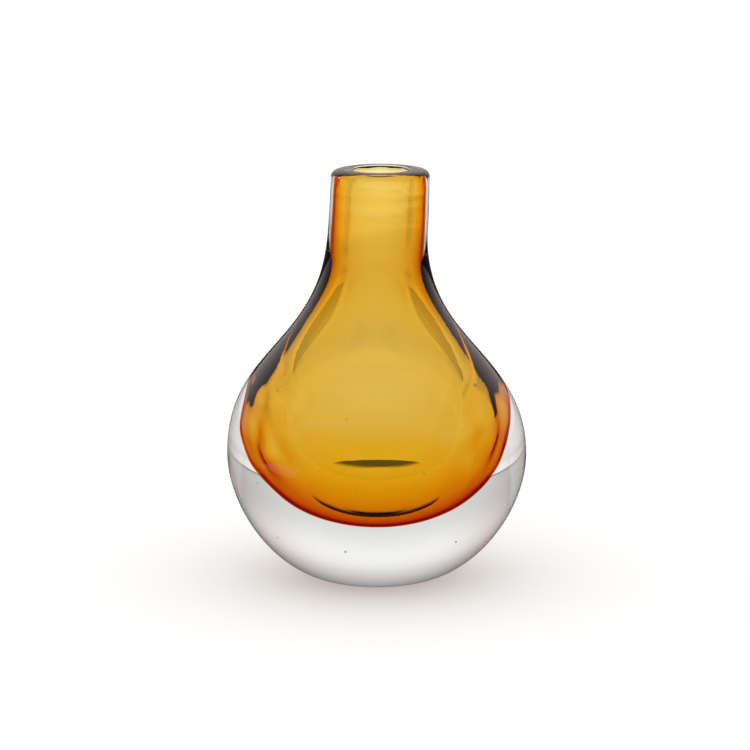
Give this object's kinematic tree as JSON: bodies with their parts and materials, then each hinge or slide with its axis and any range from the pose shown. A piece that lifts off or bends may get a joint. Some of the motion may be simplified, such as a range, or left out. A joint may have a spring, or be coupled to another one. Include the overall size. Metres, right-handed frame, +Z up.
{
  "type": "glass bud vase",
  "caption": "Heavy cased-glass bud vase: a thin amber bubble inside thick clear glass, round low body, short straight neck and rounded rim.",
  "frame": {"origin": "centre of the ground flat that the vase stands on", "axes": "+Z up the axis of the body and neck; the piece is round, so X and Y are free"},
  "size_m": [0.109, 0.109, 0.15],
  "materials": {
    "clear_glass": "fire-polished clear soda-lime glass with a ground flat under the base",
    "amber_glass": "transparent amber glass, fused into the clear casing"
  },
  "bodies": {
    "root": {"clear_casing": "clear_glass", "amber_liner": "amber_glass"}
  },
  "joints": []
}
